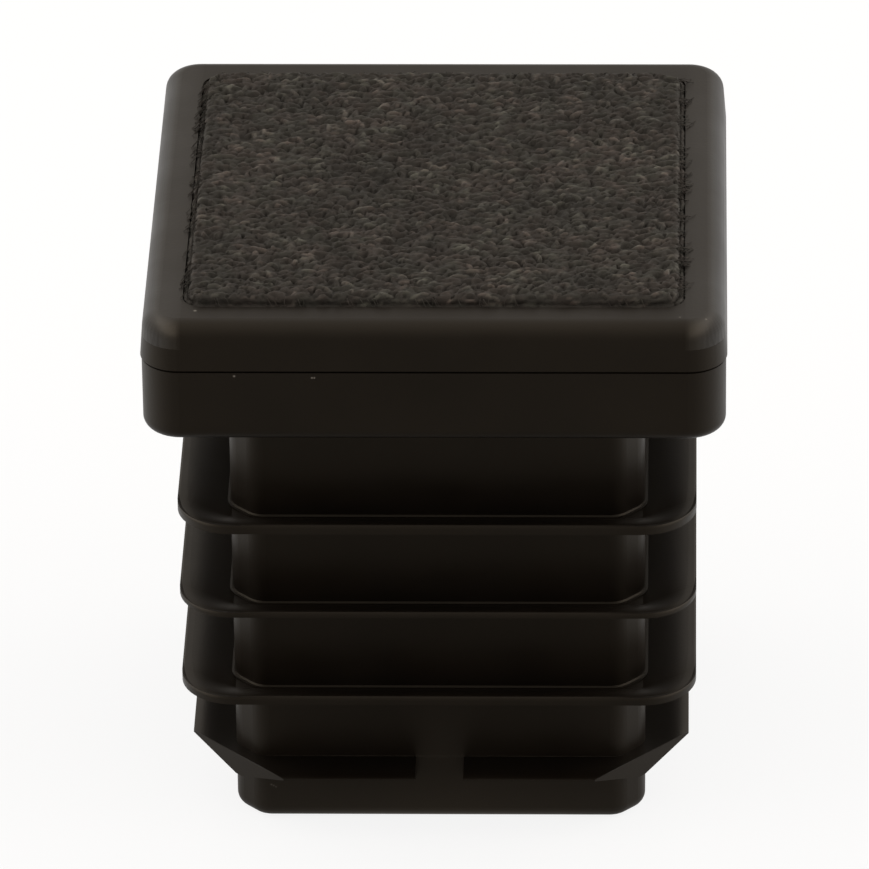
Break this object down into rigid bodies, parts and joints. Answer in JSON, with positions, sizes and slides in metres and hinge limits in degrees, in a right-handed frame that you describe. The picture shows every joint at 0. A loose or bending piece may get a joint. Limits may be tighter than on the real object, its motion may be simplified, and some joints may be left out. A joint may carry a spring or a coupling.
{
  "type": "square tube insert with glide pad",
  "caption": "Ribbed square plug that closes the end of a square tube, hollow and open below, with a flat rounded head that carries a felt glide pad.",
  "frame": {"origin": "centre of the open end of the core, on the plane that the part rests on", "axes": "+Z along the core towards the head and its glide pad; +X and +Y square to two neighbouring sides, which are alike"},
  "size_m": [0.0304, 0.0304, 0.0327],
  "materials": {
    "cap_plastic": "injection-moulded black polyethylene, satin, slightly warm",
    "glide_felt": "dense black needle felt, matt and grainy, with loose fibres at its edge"
  },
  "bodies": {
    "root": {"cap_body": "cap_plastic", "glide_pad": "glide_felt"}
  },
  "joints": []
}
